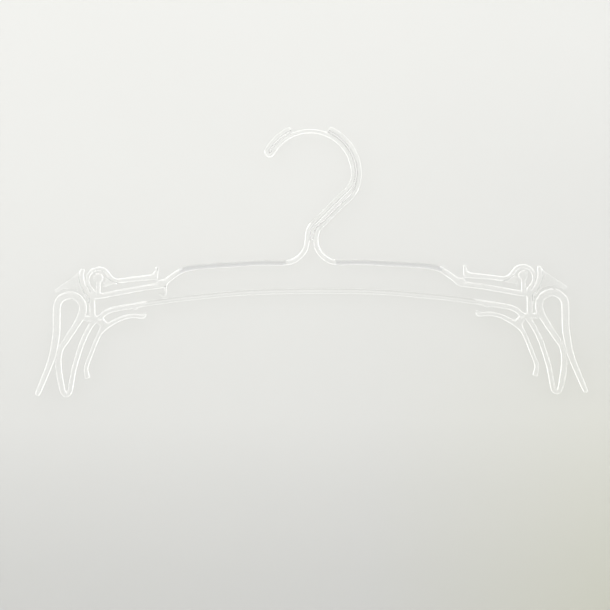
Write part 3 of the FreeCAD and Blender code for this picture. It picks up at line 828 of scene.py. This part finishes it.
def mirror_ray(tree, ray):
    """1 for a mirror-like reflection, which looks past wall and floor to the room's panels."""
    return tree.math("SUBTRACT", ray["Is Glossy Ray"], ray["Is Transmission Ray"], clamp=True)


def wall_material(name, colour):
    """Painted shade: darker low down, as if the light fell from above; and not seen from behind, nor
    edge on, nor in mirror-like reflections.
    """
    material, tree = new_material(name)
    place = tree.add("TexCoord").outputs["Object"]
    axes = tree.add("SeparateXYZ", {0: place}).outputs
    # warmer towards the lower right
    right = tree.map(axes["X"], start=0.03, end=0.16)
    low = tree.map(axes["Z"], start=-0.06, end=-0.24)
    tone = stage_tone(tree, place, axes, colour, tree.math("MULTIPLY", right, low))
    height = tree.map(axes["Z"], start=-0.28, end=0.12)
    fade = tree.add("ValToRGB", {"Fac": height})
    # painted shade: grey levels up the wall, as (share of the height, level), darkest at the foot; the
    # top is white
    stops = fade.color_ramp.elements
    stops[0].color = (0.752, 0.752, 0.752, 1)
    for at, value in ((0.15, 0.796), (0.26, 0.852), (0.36, 0.922), (0.55, 0.958), (0.70, 0.98)):
        stops.new(at).color = (value, value, value, 1)
    shade = tree.add("VectorMath", {0: tone, 1: fade.outputs["Color"]}, operation="MULTIPLY")

    geometry = tree.add("NewGeometry").outputs
    facing = tree.add("VectorMath", {0: geometry["Incoming"], 1: geometry["Normal"]},
                      operation="DOT_PRODUCT")
    edge_on = tree.map(facing.outputs["Value"], start=0.10, end=0.30, low=1.0, high=0.0)
    ray = tree.add("LightPath").outputs
    edge_seen = tree.math("MULTIPLY", edge_on, ray["Is Camera Ray"])
    edge_or_back = tree.math("MAXIMUM", edge_seen, geometry["Backfacing"])
    unseen = tree.math("MAXIMUM", edge_or_back, mirror_ray(tree, ray))
    tree.surface(matt(tree, shade.outputs[0]), unseen)
    return material


def floor_material(name, colour):
    """Even in tone but for the painted shade to the right that the base tone brings, and not seen in
    mirror-like reflections.
    """
    material, tree = new_material(name)
    place = tree.add("TexCoord").outputs["Object"]
    axes = tree.add("SeparateXYZ", {0: place}).outputs
    tone = stage_tone(tree, place, axes, colour, warmth=0.0)
    ray = tree.add("LightPath").outputs
    tree.surface(matt(tree, tone), mirror_ray(tree, ray))
    return material


def flag_material(name, tone):
    """A grey glow on the front of a sheet; its back is clear."""
    material, tree = new_material(name)
    glow = tree.add("Emission", {"Color": (tone, tone, tone * 0.985, 1)})
    behind = tree.add("NewGeometry").outputs["Backfacing"]
    tree.surface(glow.outputs["Emission"], behind)
    return material


# ------------------------------------------------------------------ backdrop and floor
BACK = 0.0045       # y of the backdrop, close behind the hanger
BACK_SIDE = 1.2     # half width of the backdrop
BACK_TOP = 0.9
FLOOR_Z = -0.30
FLOOR_SIDE = 3      # half width of the floor


def sheet(name, verts, faces, material):
    mesh = bpy.data.meshes.new(name)
    mesh.from_pydata(verts, [], faces)
    mesh.materials.append(material)
    return link_object(name, mesh)


WALL = wall_material("pale_wall", (0.575, 0.577, 0.565))
FLOOR = floor_material("pale_floor", (0.375, 0.374, 0.366))
sheet("backdrop", [(-BACK_SIDE, BACK, FLOOR_Z), (BACK_SIDE, BACK, FLOOR_Z),
                            (BACK_SIDE, BACK, BACK_TOP), (-BACK_SIDE, BACK, BACK_TOP)],
               [(0, 1, 2, 3)], WALL)
sheet("floor", [(FLOOR_SIDE * x, FLOOR_SIDE * y, FLOOR_Z)
                         for x, y in ((-1, -1), (1, -1), (1, 1), (-1, 1))],
               [(0, 1, 2, 3)], FLOOR)

# ------------------------------------------------------------------ flags round the bars and the hook
DARK_FLAG = flag_material("dark_flag", 0.08)
GREY_FLAG = flag_material("grey_flag", 0.42)
PALE_FLAG = flag_material("pale_flag", 1.05)
SOFT_FLAG = flag_material("soft_flag", 1.75)
# painted shade: a sheet glowing darker than the wall, seen only through the top bars, in place of the
# wall's shadow behind them
PAINTED_SHADE_SHEET = flag_material("grey_card", 0.73)
FLAG_HALF_DEPTH = 0.012     # of the flags that stand on edge
FRONT_FLAG_Y = -0.012       # of the flags before the top bars
PAINTED_SHADE_Y = 0.0035             # of the sheets of painted shade behind the top bars


def ribbon(name, verts, material, turned=False):
    """A strip of quads between pairs of points, seen only in the hanger's reflections."""
    faces = [(j, j + 1, j + 3, j + 2) for j in range(0, len(verts) - 2, 2)]
    obj = sheet(name, verts, [f[::-1] for f in faces] if turned else faces, material)
    obj.visible_camera = obj.visible_diffuse = False
    obj.visible_transmission = obj.visible_shadow = False
    return obj


def flag(name, line, material, faces_right):
    """A long narrow flag on edge along a line of (x, z). Seen from the front and along the line, it
    faces right or left."""
    verts = [(x, y, z) for x, z in line for y in (-FLAG_HALF_DEPTH, FLAG_HALF_DEPTH)]
    ribbon(name, verts, material, turned=not faces_right)


def upright(name, first, second, material, y):
    """A sheet in the XZ plane between two lines of (x, z). It faces back if the first line is the
    lower one, and forward if it is the upper one."""
    verts = [(x, y, z) for pair in zip(first, second) for x, z in pair]
    return ribbon(name, verts, material)


def edge_line(node, x0, x1, lift, side, count=17):
    """The upper (side=1) or lower (side=-1) edge of a node between x0 and x1, moved off by a lift.
    Takes mm and gives metres."""
    reach = 1.2     # outline points this near in x count
    points = chop(outline[node], 0.5).mean(1)
    line = []
    for x in np.linspace(x0, x1, count):
        z = points[np.abs(points[:, 0] - x) < reach, 1]
        line.append((x / 1000.0, ((z.max() if side > 0 else z.min()) + side * lift) / 1000.0))
    return line


ABOVE, BELOW = 1, -1
LEFT_BAR, RIGHT_BAR = ("top_bar_left", -73, -14), ("top_bar_right", 14, 73)  # node, x from, x to
LOWER_BAR = ("lower_bar", -92, 92)
# name, bar, side of the bar, material, stations
BAR_FLAGS = (
    ("flag_over_left_top_bar", LEFT_BAR, ABOVE, DARK_FLAG, 17),
    ("flag_over_right_top_bar", RIGHT_BAR, ABOVE, DARK_FLAG, 17),
    ("flag_under_left_top_bar", LEFT_BAR, BELOW, PALE_FLAG, 17),
    ("flag_under_right_top_bar", RIGHT_BAR, BELOW, PALE_FLAG, 17),
    ("flag_over_lower_bar", LOWER_BAR, ABOVE, GREY_FLAG, 37),
    ("flag_under_lower_bar", LOWER_BAR, BELOW, PALE_FLAG, 37),
)
for name, bar, side, material, count in BAR_FLAGS:
    flag(name, edge_line(*bar, lift=3.5, side=side, count=count), material, side == ABOVE)
for side, bar in (("left", LEFT_BAR), ("right", RIGHT_BAR)):
    upright(f"flag_before_{side}_top_bar", edge_line(*bar, lift=2.5, side=BELOW),
            edge_line(*bar, lift=2.5, side=ABOVE), DARK_FLAG, FRONT_FLAG_Y)
    # painted shade: a sheet behind the upper part of the bar, glowing darker than the wall and seen
    # only through the plastic, stands in for the wall's shadow there
    shade_sheet = upright(f"painted_shade_behind_{side}_top_bar", edge_line(*bar, lift=0.8, side=ABOVE),
                   edge_line(*bar, lift=-1.1, side=BELOW), PAINTED_SHADE_SHEET, PAINTED_SHADE_Y)
    shade_sheet.visible_transmission, shade_sheet.visible_glossy = True, False


def hook_arc(radius):
    """An arc over the hook's curve, from left to right."""
    return [(radius * np.cos(t), radius * np.sin(t)) for t in np.radians(np.linspace(155, -18, 41))]


flag("flag_round_hook", hook_arc(0.0325), SOFT_FLAG, faces_right=True)
flag("flag_in_hook", hook_arc(0.0188), SOFT_FLAG, faces_right=False)
# both sides of the hook's straight run
flag("flag_inside_run", [(-0.0030, -0.0240), (0.0165, -0.0063)], PALE_FLAG, faces_right=True)
flag("flag_outside_run", [(0.0085, -0.0335), (0.0285, -0.0135)], PALE_FLAG, faces_right=False)


# ------------------------------------------------------------------ light, room and camera
def build_key_light(place, target, size, power, colour):
    light = bpy.data.lights.new("key_softbox", "AREA")
    light.shape = "RECTANGLE"
    light.size, light.size_y = size
    light.energy = power
    light.color = colour
    obj = link_object("key_softbox", light)
    obj.location = place
    aim = Vector(np.subtract(target, place))
    obj.rotation_euler = aim.to_track_quat("-Z", "Y").to_euler()


def build_room():
    """A room that is pale where it is seen direct or through the plastic, and in reflections has a
    ring of bright panels round the hanger, which the rounded edges catch as fine white lines."""
    seen_level = 0.80       # direct view
    camera_side = 0.50      # share of that left towards the camera's side
    light_level = 1.86      # soft light from all round
    ring_front, ring_side = 2.10, 3.2   # reflected panels, in front and round the sides
    world = bpy.data.worlds.new("pale_room")
    bpy.context.scene.world = world
    tree = Tree(world)
    direction = tree.add("TexCoord").outputs["Generated"]
    axes = tree.add("SeparateXYZ", {0: direction}).outputs

    def grade(axis, start, end, low, high):
        return tree.map(axes[axis], start, end, low, high, kind="SMOOTHSTEP")

    # direct view: a little darker low down
    seen = tree.math("MULTIPLY", grade("Z", -0.6, 0.8, seen_level * 0.86, seen_level),
                     grade("Y", -0.98, -0.80, camera_side, 1.0))
    # lighting: brighter above and to the left
    bias = tree.math("ADD", grade("Z", -1.0, 1.0, 0.70, 1.15), grade("X", -1.0, 1.0, 0.10, -0.10))
    soft = tree.math("MULTIPLY", bias, light_level)
    # reflections: brighter round the sides and above
    ring = tree.math("MULTIPLY", grade("Y", -0.90, -0.45, ring_front, ring_side),
                     grade("Z", -1.0, 1.0, 0.72, 1.10))
    ray = tree.add("LightPath").outputs
    lit = tree.mix(ray["Is Glossy Ray"], soft, ring)
    direct = tree.math("MAXIMUM", ray["Is Camera Ray"], ray["Is Transmission Ray"])
    background = tree.add("Background", {"Color": (1.0, 0.998, 0.988, 1),
                                         "Strength": tree.mix(direct, lit, seen)})
    tree.add("OutputWorld", {"Surface": background.outputs["Background"]})


def build_camera(x, z, distance, view_width, roll):
    """A long lens square on from the front, turned a little about its own axis."""
    sensor = 36.0
    data = bpy.data.cameras.new("camera")
    camera = link_object("camera", data)
    camera.location = (x, -distance, z)
    data.sensor_width = sensor
    data.lens = sensor * distance / view_width
    data.clip_start = 0.01
    level = Matrix.Rotation(math.radians(90), 3, "X")
    camera.rotation_euler = (level @ Matrix.Rotation(-roll, 3, "Z")).to_euler()
    bpy.context.scene.camera = camera


build_key_light(place=(-0.55, -0.75, 0.80), target=(0, 0, -0.07), size=(1.0, 0.8), power=3.0,
                colour=(1.0, 0.998, 0.985))
build_room()
bpy.context.scene.view_settings.view_transform = "Standard"
build_camera(x=-0.00333, z=-0.072705, distance=3.60, view_width=0.33855, roll=math.radians(0.35))
